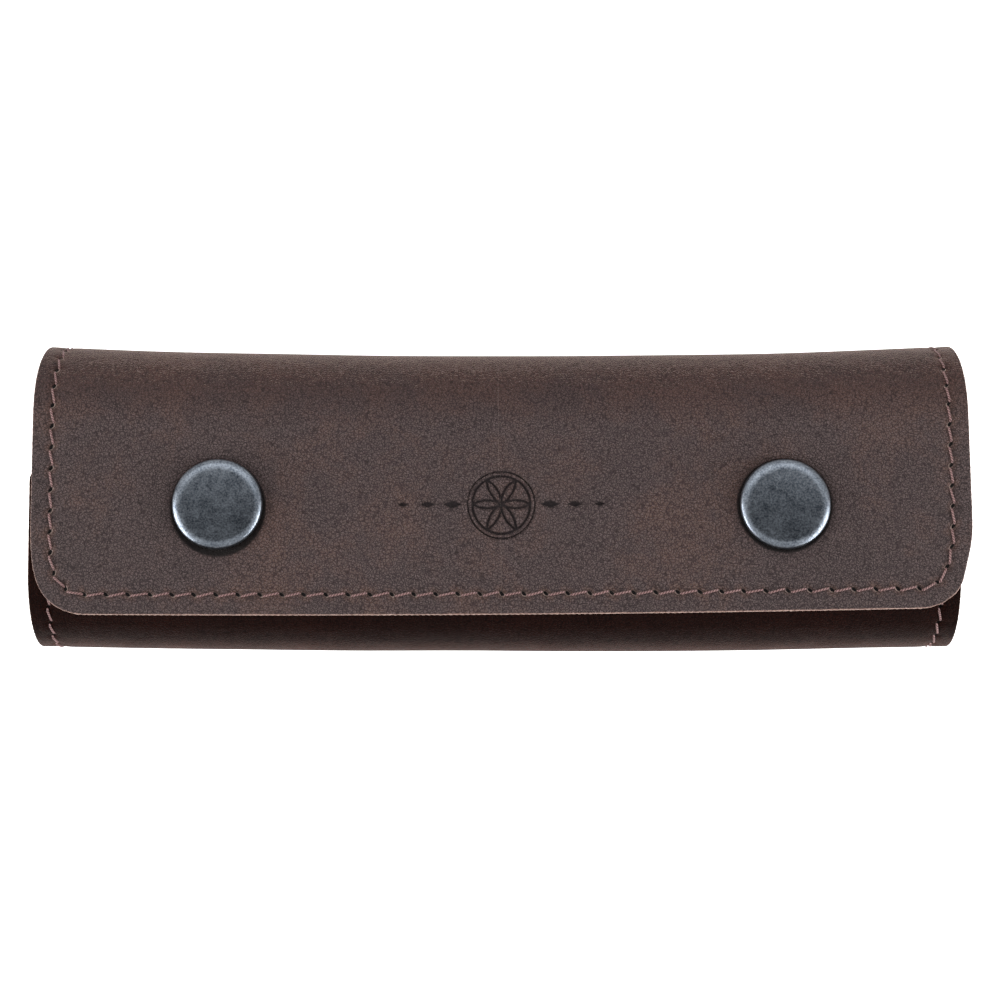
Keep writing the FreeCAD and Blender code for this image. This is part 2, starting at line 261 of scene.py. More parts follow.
class Seam:
    """The seam of one half of the sheet, counted in stitches from the middle of the back. Its needle holes are at
    whole numbers. It runs up the end of the roll, round the free corner and along the free edge to the middle."""

    def __init__(self, side, corner):
        self.side = side
        self.line_x, self.line_s = HALF_LENGTH - SEAM_INSET, side.length - SEAM_INSET
        self.bend = max(corner - SEAM_INSET, 0)
        self.turn_x, self.turn_s = self.line_x - self.bend, self.line_s - self.bend
        run = self.turn_s + self.bend * math.pi / 2
        self.side_count, self.edge_count = round(run / SIDE_PITCH), round(self.turn_x / EDGE_PITCH)
        self.side_step, self.edge_step = run / self.side_count, self.turn_x / self.edge_count

    def measure(self, x, s):
        """For points of the sheet: the count along the seam, the distance across it, and the stitch length."""
        far_x, far_s = np.abs(x) - self.line_x, s - self.line_s
        by_side = (np.abs(far_x) < np.abs(far_s)) & (s < self.turn_s + self.bend)
        count = np.where(by_side, s / self.side_step, self.side_count + (self.turn_x - np.abs(x)) / self.edge_step)
        outward = np.where(by_side, far_x, far_s)
        if self.bend:
            in_x, in_s = np.abs(x) - self.turn_x, s - self.turn_s
            corner = (in_x > 0) & (in_s > 0)
            turned = np.arctan2(np.maximum(in_s, 1e-9), np.maximum(in_x, 1e-9))
            count = np.where(corner, (self.turn_s + self.bend * turned) / self.side_step, count)
            outward = np.where(corner, np.hypot(in_x, in_s) - self.bend, outward)
            by_side = by_side | corner
        step = np.where(by_side, self.side_step, self.edge_step)
        return count, outward * np.where(x < 0, -1, 1) * self.side.sense, step

    def spot(self, count, way):
        """A place on the seam: (x, s), its heading in (x, s), and the stitch length there."""
        if count > self.side_count:
            along_edge = self.turn_x - (count - self.side_count) * self.edge_step
            return (way * along_edge, self.line_s), (-way, 0), self.edge_step
        distance = count * self.side_step
        if distance <= self.turn_s:
            return (way * self.line_x, distance), (0, 1), self.side_step
        turned = (distance - self.turn_s) / self.bend
        return ((way * (self.turn_x + self.bend * math.cos(turned)), self.turn_s + self.bend * math.sin(turned)),
                (-way * math.sin(turned), math.cos(turned)), self.side_step)

    def stitches(self):
        """Every stitch, from hole to hole, at both ends of the roll."""
        middles = [i + 0.5 for i in range(self.side_count + self.edge_count)]
        return [self.spot(middle, way) for middle in middles for way in (-1, 1)]


seams = {flap_side: Seam(flap_side, CORNER), front_side: Seam(front_side, 0)}
for seam in seams.values():
    print(seam.side.last, "seam has", len(seam.stitches()), "stitches of", round(seam.side_step / MM, 2), "and",
          round(seam.edge_step / MM, 2), "mm")

# %% [markdown]
# ## Relief
#
# The needle pulls the leather down along the seam, the snap's cap sits in a shallow dent, and a small rosette of six
# petals in a ring is stamped in the middle of the flap. All of it is real relief in the mesh. The same sums give the
# mask that darkens stamped leather.

# %% Relief and stamp
SEAM_SINK, SEAM_WIDTH = 0.22 * MM, 0.8 * MM
PUCKER, PUCKER_WIDTH = 0.3 * MM, 1.6 * SEAM_WIDTH
CAP_DENT, CAP_DENT_WIDTH = 0.6 * MM, 1.3 * MM
STAMP_DEPTH, STAMP_LINE = 0.4 * MM, 0.34 * MM
STAMP_RADIUS, OUTER_RING = 6.3 * MM, 1.16
PETALS = 6
LEAVES, LEAF_SPACING = 3, 5.4 * MM


def outline_distance(side, x, s):
    """Distance in from the sheet's outline, its flap corners rounded."""
    dx, ds = HALF_LENGTH - np.abs(x), side.length - s
    distance = np.minimum(dx, ds)
    if side is flap_side:
        both = (dx < CORNER) & (ds < CORNER)
        round_distance = CORNER - np.hypot(np.minimum(dx - CORNER, 0), np.minimum(ds - CORNER, 0))
        distance = np.where(both, round_distance, distance)
    return distance


def groove(distance, width):
    """1 in the middle of a pressed line, 0 outside it, with soft shoulders."""
    return 1 - smooth(width * 0.45, width * 1.25, np.abs(distance))


def stamp(x, s):
    """The stamped rosette: a ring, six petals drawn with a compass, and leaves on both sides."""
    u, v = x, s - cap_s
    radius = np.hypot(u, v)
    pressed = np.maximum(groove(radius - STAMP_RADIUS, STAMP_LINE),
                         groove(radius - STAMP_RADIUS * OUTER_RING, STAMP_LINE * 0.6))
    for i in range(PETALS):
        angle = i * 2 * math.pi / PETALS
        arc = np.hypot(u - STAMP_RADIUS * math.cos(angle), v - STAMP_RADIUS * math.sin(angle)) - STAMP_RADIUS
        pressed = np.maximum(pressed, groove(arc, STAMP_LINE) * (radius < STAMP_RADIUS))
    for i in range(LEAVES):
        length, width = (2.3 - 0.45 * i) * MM, (0.95 - 0.2 * i) * MM
        centre = STAMP_RADIUS * OUTER_RING + (0.62 + i) * LEAF_SPACING
        leaf = np.abs((np.abs(u) - centre) / length) ** 1.3 + np.abs(v / width)
        pressed = np.maximum(pressed, 1 - smooth(0.72, 1.1, leaf))
    return pressed


def relief(side, x, s):
    """How far the outer surface is pressed down, and how dark the stamp makes it."""
    count, seam, _ = seams[side].measure(x, s)
    sink = SEAM_SINK * np.exp(-(seam / SEAM_WIDTH) ** 2)
    sink = sink + PUCKER * np.exp(-(seam / PUCKER_WIDTH) ** 2) * np.cos(count * math.pi) ** 6
    if side is front_side:
        return sink, np.zeros_like(sink)
    from_cap = np.hypot(np.abs(x) - CAP_X, s - cap_s)
    sink = sink + CAP_DENT * np.exp(-((from_cap - CAP_RADIUS * 0.96) / CAP_DENT_WIDTH) ** 2)
    mark = stamp(x, s)
    return sink + STAMP_DEPTH * mark, mark


# %% [markdown]
# ## Panels
#
# A panel is a closed shell: an outer face, an inner face, and a worked edge that joins them round the outline. Where
# the sheet goes on into the next panel it ends in a plain cut, and because both neighbours take their points and their
# normals from the same functions, the cut doesn't show.

# %% Panel builder
EDGE_ROUND, THIN = 0.42 * MM, 1.2 * MM
ROUND_STEPS = [math.radians(turn) for turn in (30, 60, 90)]
FINE, PLAIN, STAMPED = 0.5 * MM, 0.95 * MM, 0.22 * MM
STAMP_REACH_X, STAMP_REACH_S = 26 * MM, 8 * MM
WEAR_REACH = 0.9 * MM
RAGGED = 0.05 * MM


def spread(stops):
    """Places along a line: stops are (end, step) in order, the first stop's step unused."""
    places = [stops[0][0]]
    for (start, _), (end, step) in zip(stops, stops[1:]):
        count = max(1, round((end - start) / step))
        places += [start + (end - start) * (i + 1) / count for i in range(count)]
    return np.array(places)


def columns(half, stamped):
    """Places along the roll, closer together near the seams and in the stamp."""
    middle, inner, outer = (STAMP_REACH_X, STAMPED, 0.7 * MM) if stamped else (8 * MM, PLAIN, PLAIN)
    right = spread([(0, 0), (middle, inner), (half - 9 * MM, outer), (half, FINE)])
    return np.concatenate([-right[:0:-1], right])


def tag(mesh, label, values):
    """A named number or vector for each point of a mesh."""
    values = np.asarray(values, np.float32)
    kind, field = ("FLOAT_VECTOR", "vector") if values.ndim == 2 else ("FLOAT", "value")
    mesh.attributes.new(label, kind, "POINT").data.foreach_set(field, values.ravel())


def shut(mesh):
    """Every face of a closed shell turned outwards and shaded smooth."""
    shell = bmesh.new()
    shell.from_mesh(mesh)
    bmesh.ops.recalc_face_normals(shell, faces=shell.faces)
    shell.to_mesh(mesh)
    shell.free()
    mesh.polygons.foreach_set("use_smooth", np.ones(len(mesh.polygons), bool))


def panel(name, side, s0, s1, depth0, depth1, half, step, free=False, corner=0.0, worked=True, stamped=False):
    """One closed shell of the sheet between two distances and two depths."""
    r = EDGE_ROUND if depth1 - depth0 > THIN else (depth1 - depth0) * 0.4
    half_in = half - r
    x_line = columns(half_in, stamped) if worked else spread([(-half_in, 0), (half_in, 2.5 * MM)])
    corner_in = max(corner - r, 0)
    straight_end = (s1 - r if free else s1) - corner_in
    if stamped:
        s_line = spread([(s0, 0), (cap_s - STAMP_REACH_S, PLAIN), (cap_s + STAMP_REACH_S, STAMPED),
                         (straight_end, PLAIN)])
    else:
        s_line = spread([(s0, 0), (straight_end, step)])
    turns = np.zeros(len(s_line))
    widths = np.full(len(s_line), half_in)
    if corner_in:
        angles = np.linspace(0, math.pi / 2, 25)[1:]
        s_line = np.concatenate([s_line, straight_end + corner_in * np.sin(angles)])
        turns = np.concatenate([turns, angles])
        widths = np.concatenate([widths, half_in - corner_in + corner_in * np.cos(angles)])
    rows, count = len(s_line), len(x_line)
    face = rows * count
    x = x_line[None, :] * (widths / half_in)[:, None]
    s = np.repeat(s_line[:, None], count, 1)

    # The outer and the inner face, with the relief's slopes in the outer one's normals.
    sink, mark = relief(side, x, s) if worked else (np.zeros_like(x), np.zeros_like(x))
    top, top_x, top_s, top_n = sheet_frame(side, x, s, depth0)
    top = top - top_n * sink[..., None]
    if worked:
        slope_s = np.gradient(sink, axis=0) / np.maximum(np.gradient(s, axis=0), 1e-9)
        slope_x = np.gradient(sink, axis=1) / np.gradient(x, axis=1)
        top_n = top_n + slope_s[..., None] * top_s + slope_x[..., None] * top_x
    low, _, _, low_n = sheet_frame(side, x, s, depth1)
    points = [top.reshape(-1, 3), low.reshape(-1, 3)]
    normals = [top_n.reshape(-1, 3), -low_n.reshape(-1, 3)]
    flats = [np.stack([x, s * side.sense, np.full_like(x, depth)], -1).reshape(-1, 3) for depth in (depth0, depth1)]
    inward = outline_distance(side, x, s) - (HALF_LENGTH - half)
    edges = [np.exp(-np.maximum(inward - r, 0) / WEAR_REACH).reshape(-1) * 0.5, np.full(face, 0.2)]
    marks = [mark.reshape(-1), np.zeros(face)]
    faces = []
    for row in range(rows - 1):
        for column in range(count - 1):
            a = row * count + column
            b, c, d = a + 1, a + count + 1, a + count
            faces += [(a, b, c, d), (a + face, d + face, c + face, b + face)]

    # The outline: one ring round a free panel, or a strip up each end of a cut one, each with its outward direction.
    ring = [(row, 0) for row in range(rows)]
    ring_out = [(-math.cos(turn), math.sin(turn)) for turn in turns]
    if free:
        back = range(rows - 2, -1, -1)
        ring += [(rows - 1, column) for column in range(1, count)] + [(row, count - 1) for row in back]
        ring_out += [(0.0, 1.0)] * (count - 1) + [(math.cos(turns[row]), math.sin(turns[row])) for row in back]
        rings = [(ring, ring_out)]
    else:
        rings = [(ring, ring_out), ([(row, count - 1) for row in range(rows)], [(1.0, 0.0)] * rows)]
    profile = [(turn, True) for turn in ROUND_STEPS] + [(turn, False) for turn in reversed(ROUND_STEPS)]
    start = 2 * face
    strips = []
    for ring, outs in rings:
        index, out, size = np.array(ring), np.array(outs), len(ring)
        flat_index = index[:, 0] * count + index[:, 1]
        ring_x, ring_s, ring_sink = [values.reshape(-1)[flat_index] for values in (x, s, sink)]
        for k, (turn, upper) in enumerate(profile):
            ragged = RAGGED * np.sin(ring_x * 5200 + k * 1.7) * np.sin(ring_s * 4300 + k)
            past = r * math.sin(turn) + ragged
            edge_x, edge_s = ring_x + out[:, 0] * past, ring_s + out[:, 1] * past
            depth = depth0 + r * (1 - math.cos(turn)) if upper else depth1 - r * (1 - math.cos(turn))
            point, along_x, along_s, normal = sheet_frame(side, edge_x, edge_s, depth)
            lift = math.cos(turn) * (1 if upper else -1)
            points.append(point - normal * (ring_sink * max(lift, 0))[:, None])
            normals.append((out[:, :1] * along_x + out[:, 1:] * along_s) * math.sin(turn) + normal * lift)
            flats.append(np.stack([edge_x, edge_s * side.sense, np.full_like(edge_x, depth)], -1))
            edges.append(np.full(size, 0.75 if turn < 1 else 1.0))
            marks.append(np.zeros(size))
        strands = [flat_index] + [start + size * k + np.arange(size) for k in range(len(profile))]
        strands.append(flat_index + face)
        start += size * len(profile)
        for upper_strand, lower_strand in zip(strands, strands[1:]):
            for k in range(size - 1):
                faces.append((upper_strand[k], upper_strand[k + 1], lower_strand[k + 1], lower_strand[k]))
        strips.append((strands, size))

    # The plain cuts, and the ends of the rounded edges beside them.
    for row in ((0,) if free else (0, rows - 1)):
        for column in range(count - 1):
            a, b = row * count + column, row * count + column + 1
            faces.append((a, b, b + face, a + face))
        for strands, size in strips:
            ends = (0, size - 1) if free else ((0,) if row == 0 else (size - 1,))
            faces += [tuple(strand[end] for strand in strands) for end in ends]

    mesh = bpy.data.meshes.new(name)
    mesh.from_pydata(np.concatenate(points).tolist(), [], [tuple(int(i) for i in corners) for corners in faces])
    flats = np.concatenate(flats)
    tag(mesh, "flat", flats)
    if worked:
        tag(mesh, "seam", np.stack(seams[side].measure(flats[:, 0], np.abs(flats[:, 1])), -1))
    tag(mesh, "worn", np.concatenate(edges))
    tag(mesh, "stamped", np.concatenate(marks))
    shut(mesh)
    directions = np.concatenate(normals)
    directions /= np.linalg.norm(directions, axis=1, keepdims=True)
    mesh.normals_split_custom_set_from_vertices(directions.tolist())
    return in_scene(name, mesh)


# %% [markdown]
# ## Node helpers
#
# Every material and every Geometry Nodes tree below is built with the short helpers of this cell. A socket that gives a
# number is kept as a `Number`, so a sum of sockets is written as a sum and the Math nodes are added for it.

# %% Node helpers
def join(value, socket):
    """Feed a socket from another one, or with a constant; None leaves it alone."""
    value = value.socket if isinstance(value, Number) else value
    if isinstance(value, bpy.types.NodeSocket):
        socket.id_data.links.new(value, socket)
    elif value is not None:
        socket.default_value = (*value, 1) if socket.type == "RGBA" and len(value) == 3 else value


def fill(node, sockets):
    """Feed a node's sockets by name."""
    for label, value in sockets.items():
        join(value, node.inputs[label])
    return node


def add(tree, kind, *values, **settings):
    """A new node with its settings made and its input sockets filled in order."""
    node = tree.nodes.new(kind)
    for key, value in settings.items():
        setattr(node, key, value)
    for value, socket in zip(values, [i for i in node.inputs if i.enabled]):
        join(value, socket)
    return node


def calculated(tree, operation, *values):
    """A Math node's result."""
    return Number(add(tree, "ShaderNodeMath", *values, operation=operation).outputs[0])


class Number:
    """A socket that gives a number. Arithmetic on it adds Math nodes to its tree."""

    def __init__(self, socket):
        self.socket, self.tree = socket, socket.id_data

    def math(self, operation, *others):
        return calculated(self.tree, operation, self, *others)

    def __add__(self, other):
        return self.math("ADD", other)

    def __sub__(self, other):
        return self.math("SUBTRACT", other)

    def __rsub__(self, other):
        return calculated(self.tree, "SUBTRACT", other, self)

    def __mul__(self, other):
        return self.math("MULTIPLY", other)

    def __abs__(self):
        return self.math("ABSOLUTE")

    def level(self, low, high, to_low=0.0, to_high=1.0):
        """The number carried from one range to another, and kept inside it."""
        return Number(add(self.tree, "ShaderNodeMapRange", self, low, high, to_low, to_high).outputs[0])


def numbers(node):
    return [Number(socket) for socket in node.outputs]


def across_length(a, b):
    """The length of a diagonal."""
    return (a * a + b * b).math("SQRT")


def group_tree(name, kind, inputs, outputs):
    """An empty node group with named sockets, and its two end nodes."""
    tree = bpy.data.node_groups.new(name, kind)
    for label, socket, value in inputs:
        made = tree.interface.new_socket(label, in_out="INPUT", socket_type=socket)
        if value is not None:
            made.default_value = value
    for label, socket in outputs:
        tree.interface.new_socket(label, in_out="OUTPUT", socket_type=socket)
    return tree, tree.nodes.new("NodeGroupInput").outputs, tree.nodes.new("NodeGroupOutput").inputs


def ramp(tree, factor, stops):
    """A colour ramp's colour; stops are (position, colour)."""
    node = add(tree, "ShaderNodeValToRGB", factor)
    while len(node.color_ramp.elements) < len(stops):
        node.color_ramp.elements.new(0.5)
    for element, (position, colour) in zip(node.color_ramp.elements, stops):
        element.position, element.color = position, (*colour, 1)
    return node.outputs[0]


def mixed(tree, factor, first, second, blend="MIX"):
    """Two colours mixed."""
    node = add(tree, "ShaderNodeMix", data_type="RGBA", blend_type=blend)
    for socket, value in zip((0, 6, 7), (factor, first, second)):
        join(value, node.inputs[socket])
    return node.outputs[2]


def noise(tree, place, scale, detail=3.0, roughness=0.5, distortion=0.0, output="Fac"):
    """Perlin noise over a place."""
    return Number(fill(tree.nodes.new("ShaderNodeTexNoise"), {
        "Vector": place, "Scale": scale, "Detail": detail, "Roughness": roughness,
        "Distortion": distortion}).outputs[output])


def attribute(tree, name, output="Fac"):
    return Number(add(tree, "ShaderNodeAttribute", attribute_name=name).outputs[output])


def material(name):
    """A new material: its tree and its shader."""
    made = bpy.data.materials.new(name)
    made.use_nodes = True
    return made, made.node_tree, made.node_tree.nodes["Principled BSDF"]


def bumped(shader, height, strength, distance):
    """Fine relief on a shader."""
    bump = fill(add(shader.id_data, "ShaderNodeBump", strength, distance), {"Height": height})
    join(bump.outputs[0], shader.inputs["Normal"])


# %% [markdown]
# ## Grain
#
# Full-grain leather has pores in irregular cells a fraction of a millimetre across, fine creases between them, and
# long soft hollows. The group below gives the cover leather all that as one height, with a mask for flecks and a mask
# of the creases, which the leather darkens as painted shade.

# %% Grain group
GRAIN_DRIFT = (0.0012, 0.0012, 0.0)
grain, gin, gout = group_tree("leather grain", "ShaderNodeTree",
                              [("Flat", "NodeSocketVector", None), ("Pores per metre", "NodeSocketFloat", 1500.0)],
                              [("Height", "NodeSocketFloat"), ("Fleck", "NodeSocketFloat"),
                               ("Shade in creases", "NodeSocketFloat")])
drift = add(grain, "ShaderNodeVectorMath", noise(grain, gin[0], 420.0, output="Color"), GRAIN_DRIFT,
            operation="MULTIPLY").outputs[0]
place = add(grain, "ShaderNodeVectorMath", gin[0], drift, operation="ADD").outputs[0]
pores = fill(add(grain, "ShaderNodeTexVoronoi", feature="DISTANCE_TO_EDGE"), {"Vector": place, "Scale": gin[1]})
from_pore_edge = Number(pores.outputs["Distance"])
fine = noise(grain, gin[0], 4200.0)
join(from_pore_edge.level(0.0, 0.2) * 0.4 + fine * 0.8 + noise(grain, gin[0], 300.0, 4.0), gout[0])
join(fine.level(0.38, 0.68), gout[1])
join(from_pore_edge.level(0.16, 0.0), gout[2])

# %% [markdown]
# ## Needle holes
#
# An awl leaves a slanted slit where two stitches meet. The slits are smaller than the mesh, so they are drawn from the
# seam's own coordinates: the count along it, whose whole numbers are holes, and the distance across it.

# %% Needle hole group
SLIT_ANGLE = math.radians(-38)
SLIT_HALF_LENGTH, SLIT_HALF_WIDTH = 0.66 * MM, 0.38 * MM
holes, hin, hout = group_tree("needle holes", "ShaderNodeTree", [("Seam", "NodeSocketVector", None)],
                              [("Hole", "NodeSocketFloat"), ("Pull", "NodeSocketFloat")])
count, across_seam, stitch_length = numbers(add(holes, "ShaderNodeSeparateXYZ", hin[0]))
to_hole = (count - count.math("ROUND")) * stitch_length


def slit_axis(along, across):
    """A distance from the hole along one of the slit's axes."""
    return to_hole * along + across_seam * across


from_hole = across_length(
    slit_axis(math.cos(SLIT_ANGLE) / SLIT_HALF_LENGTH, math.sin(SLIT_ANGLE) / SLIT_HALF_LENGTH),
    slit_axis(-math.sin(SLIT_ANGLE) / SLIT_HALF_WIDTH, math.cos(SLIT_ANGLE) / SLIT_HALF_WIDTH))
join(from_hole.level(1.25, 0.8), hout[0])
join(from_hole.level(4.2, 1.2), hout[1])

# %% [markdown]
# ## Waxed pull-up leather
#
# Oil and wax move in this leather when it bends: it goes lighter and redder past the top bend and round the needle
# holes, and stays dark and grey-brown where it lies flat. The front panel under the flap is darkened as painted shade
# from the flap, a band along the top bend is darkened as painted shade, and a near-black ring round each cap is a
# painted shadow. Along cut edges the tan fibres show. Its gloss is a soft wax sheen.

# %% Cover leather
LEATHER = [(0.40, (0.026, 0.0185, 0.0185)), (0.49, (0.035, 0.0230, 0.0220)),
           (0.56, (0.050, 0.0270, 0.0215)), (0.66, (0.072, 0.036, 0.0250))]
# Painted shade: the front panel is multiplied darker and redder from its bottom bend to the flap's edge, darkest under
# the flap.
UNDER_FLAP_SHADE = [(0.0, (1.0, 1.0, 1.0)), (0.25, (1.0, 0.61, 0.43)), (0.45, (0.85, 0.46, 0.33)),
            (0.75, (0.14, 0.062, 0.045))]
FIBRES = [(0.35, (0.10, 0.048, 0.037)), (0.65, (0.29, 0.175, 0.138))]
FLECK, CREASE_SHADE, STAMPED_DARK, CAP_SHADOW, HOLE_SHADE = ((0.170, 0.122, 0.120), (0.008, 0.005, 0.005), (0.008, 0.006, 0.007),
                                              (0.004, 0.003, 0.003), (0.002, 0.001, 0.001))
# Painted shade: a band along the top bend is darkened where less light falls on it.
BEND_SHADE = (0.54, 0.34, 0.31)
RUB_AT, RUB_REACH, BEND_SHADE_AT = math.radians(135), 0.009, math.radians(108)
CAP_SHADE = 0.4 * MM

leather, tree, shader = material("cover leather")
flat = attribute(tree, "flat", "Vector")
worn, stamped = attribute(tree, "worn"), attribute(tree, "stamped")
height, fleck, crease_shade = numbers(add(tree, "ShaderNodeGroup", flat, node_tree=grain))
hole, pull = numbers(add(tree, "ShaderNodeGroup", attribute(tree, "seam", "Vector"), node_tree=holes))
cloud = noise(tree, flat, 34.0, 4.0, 0.6, 0.6)
patch = noise(tree, flat, 120.0, 5.0, 0.7, 0.9)
stretched = add(tree, "ShaderNodeMapping", flat, None, None, (60.0, 420.0, 60.0)).outputs[0]
streak = noise(tree, stretched, 1.0, 4.0, 0.6)
along, across, _ = numbers(add(tree, "ShaderNodeSeparateXYZ", flat))
past_bend = (across - (flap_side.bend_start + flap_side.radius * RUB_AT)) * (1 / RUB_REACH)
bend_rub = (past_bend * past_bend * -1.0).math("EXPONENT")
colour = ramp(tree, cloud * 0.6 + patch * 0.4 + streak * bend_rub * 0.15 + pull * 0.17, LEATHER)
colour = mixed(tree, fleck * 0.75, colour, FLECK)
# Painted shade: the grain's creases are darkened nearly to black.
colour = mixed(tree, crease_shade * 0.80, colour, CREASE_SHADE)
# Painted shade under the flap: its colour is darkened here, and its gloss and sheen are turned down below.
under_flap_shade = across.level(-0.030, -0.060)
colour = mixed(tree, 1.0, colour, ramp(tree, under_flap_shade, UNDER_FLAP_SHADE), "MULTIPLY")
# Painted shade along the top bend.
from_bend = abs(across - (flap_side.bend_start + flap_side.radius * BEND_SHADE_AT))
colour = mixed(tree, from_bend.level(0.022, 0.004) * 0.95, colour, BEND_SHADE, "MULTIPLY")
colour = mixed(tree, stamped * 0.85, colour, STAMPED_DARK)
# Painted shadow: a near-black ring round each cap, centred CAP_SHADE towards the flap's free edge so that it is widest
# on that side.
from_cap = across_length(abs(along) - CAP_X, across - (cap_s + CAP_SHADE))
pressed = from_cap.level(CAP_RADIUS + 0.8 * MM, CAP_RADIUS + 0.35 * MM)
colour = mixed(tree, pressed * 0.92, colour, CAP_SHADOW)
rubbed = (worn + (patch - 0.5) * 0.5).level(0.78, 1.0)
colour = mixed(tree, rubbed, colour, ramp(tree, noise(tree, flat, 2600.0, 4.0), FIBRES))
# Painted shade: the needle slits are painted near-black, standing in for the shade inside them.
fill(shader, {"Base Color": mixed(tree, hole, colour, HOLE_SHADE), "Roughness": patch.level(0.3, 0.7, 0.62, 0.48),
              "Specular IOR Level": under_flap_shade.level(0.4, 0.9, 0.13, 0.02),
              "Sheen Weight": under_flap_shade.level(0.05, 0.45, 0.8, 0.06), "Sheen Roughness": 0.24,
              "Sheen Tint": (1.0, 0.76, 0.66)})
bumped(shader, height - hole * 3.0, 0.9, 0.25 * MM)

# %% [markdown]
# ## Lining
#
# Inside, the cover is lined with thin suede: no gloss, short nap, and a slightly lighter brown.

# %% Lining suede and pocket leather
def soft_leather(name, dark, light, nap_scale, rough):
    """A plain soft leather: a nap or grain of its own scale over long brushed patches."""
    made, tree, shader = material(name)
    flat = attribute(tree, "flat", "Vector")
    nap = noise(tree, flat, nap_scale, 4.0, 0.7)
    tone = nap * 0.45 + noise(tree, flat, 90.0, 4.0, 0.6, 0.8) * 0.55
    fill(shader, {"Base Color": ramp(tree, tone, [(0.38, dark), (0.62, light)]), "Roughness": rough,
                  "Specular IOR Level": 0.2, "Sheen Weight": 0.3})
    bumped(shader, nap, 0.55, 0.15 * MM)
    return made


suede = soft_leather("lining suede", (0.075, 0.045, 0.032), (0.15, 0.092, 0.066), 3400.0, 0.92)
loop_leather = soft_leather("pocket leather", (0.040, 0.024, 0.019), (0.085, 0.050, 0.037), 1900.0, 0.62)

# %% [markdown]
# ## Cutting the sheet at the hinges
#
# Between the middles of two neighbouring bodies the sheet crosses one hinge, so a panel runs from middle to middle; it
# is not attached to either body. The flat back, the flap and the front panel are rigid away from their hinges.

# %% Cover and lining panels
BLEND_REACH, FLAP_BLEND_REACH = 5 * MM, 3 * MM
WORKED_STEP, LINING_STEP, BACK_STEP = 0.6 * MM, 1.0 * MM, 1.2 * MM
FRONT_CORNER = 2.5 * MM


def body_middles(side):
    """The distances where the sheet is cut: for each hinge (start, end, body before, body after)."""
    order = side.bodies
    marks = [side.hinge_s[body] for body in order[1:]]
    cuts = []
    for i, body in enumerate(order[1:]):
        before = marks[i] - BLEND_REACH if i == 0 else (marks[i - 1] + marks[i]) / 2
        reach = FLAP_BLEND_REACH if body == "flap" else BLEND_REACH
        after = marks[i] + reach if i == len(order) - 2 else (marks[i] + marks[i + 1]) / 2
        cuts.append((before, after, order[i], body))
    return cuts


def settle(thing, nodes, body=None):
    """Hide the frame's nodes that a piece stands for and, when a body is given, attach the piece to that body."""
    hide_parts(*nodes)
    if body:
        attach(thing, body)


def blend_between(thing, side, before, after):
    """Work out, for a piece between two bodies, the span from past the whole of one cut to short of the whole of the
    other, and bake the piece's transform into its mesh; the piece is not bent.
    """
    xs, depths = np.meshgrid(np.linspace(-HALF_LENGTH, HALF_LENGTH, 9), (0.0, lining_top))
    start, end = sheet_point(side, 0.0, before, 0.0), sheet_point(side, 0.0, after, 0.0)
    start[0] = end[0] = 0.0
    reach = np.linalg.norm(end - start)
    along = (end - start) / reach
    low = min(((sheet_point(side, xs, before, depths) - start) @ along).max(), 0.4 * reach)
    high = max(((sheet_point(side, xs, after, depths) - start) @ along).min(), 0.6 * reach)
    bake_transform(thing)


def make_sheet(kind, surface, depth0, depth1, half, worked):
    """Every panel of one layer of the sheet, bent or rigid."""
    inset, step = HALF_LENGTH - half, WORKED_STEP if worked else LINING_STEP
    made = []

    def piece(name, side, start, end, step, nodes, body=None, **shape):
        thing = panel(f"{kind}_{name}", side, start, end, depth0, depth1, half, step, worked=worked, **shape)
        thing.data.materials.append(surface)
        settle(thing, [f"{kind}_{node}" for node in nodes], body)
        made.append(thing)
        return thing

    for side in (flap_side, front_side):
        cuts = body_middles(side)
        for before, after, first, second in cuts:
            thing = piece(f"{first}_to_{second}", side, before, after, step, [second] if second != side.last else [])
            blend_between(thing, side, before, after)
        piece(side.last + "_panel", side, cuts[-1][1], side.length - inset, PLAIN, [side.last], side.last, free=True,
              corner=CORNER - inset if side is flap_side else FRONT_CORNER, stamped=worked and side is flap_side)
    for side in (flap_side, front_side):
        piece(f"back_{side.last}_half", side, 0.0, body_middles(side)[0][0], BACK_STEP, ["back"], "back")
    print(kind, "panels", len(made), "faces", sum(len(thing.data.polygons) for thing in made))


make_sheet("cover", leather, 0.0, back_top, HALF_LENGTH, True)
make_sheet("lining", suede, back_top, lining_top, LINING_HALF, False)

# %% [markdown]
# ## Stitches
#
# The thread comes up through one slit, lies on the leather and goes down through the next. Because the slits are
# slanted, each stitch lies a little askew. A Geometry Nodes tree makes one waxed thread with its two ends dipping and
# sets it on every point of a seam, turned to the point's own heading. The thread keeps its place along and round
# itself, as a cosine and a sine, so its material can lay the twist of the plies round it without a break.

# %% Stitch tree
THREAD, THREAD_REACH = 0.48 * MM, 0.86
THREAD_SLANT, UNEVENNESS = math.radians(12), 0.05
THREAD_RISE, THREAD_DIVE = 0.12 * MM, 0.5 * MM
rows, rin, rout = group_tree("seam stitches", "GeometryNodeTree",
                             [("Points", "NodeSocketGeometry", None), ("Thickness", "NodeSocketFloat", THREAD),
                              ("Rise", "NodeSocketFloat", THREAD_RISE), ("Dive", "NodeSocketFloat", THREAD_DIVE),
                              ("Slant", "NodeSocketFloat", THREAD_SLANT),
                              ("Unevenness", "NodeSocketFloat", UNEVENNESS), ("Seed", "NodeSocketInt", 4),
                              ("Material", "NodeSocketMaterial", None)],
                             [("Stitches", "NodeSocketGeometry")])
rise, dive, slant, unevenness, seed = [Number(rin[i]) for i in range(2, 7)]


def captured(geometry, label, value):
    """A geometry that keeps a number for each of its points, and that number."""
    node = rows.nodes.new("GeometryNodeCaptureAttribute")
    node.capture_items.new("FLOAT", label)
    join(geometry, node.inputs[0])
    join(value, node.inputs[1])
    return node.outputs[0], Number(node.outputs[1])


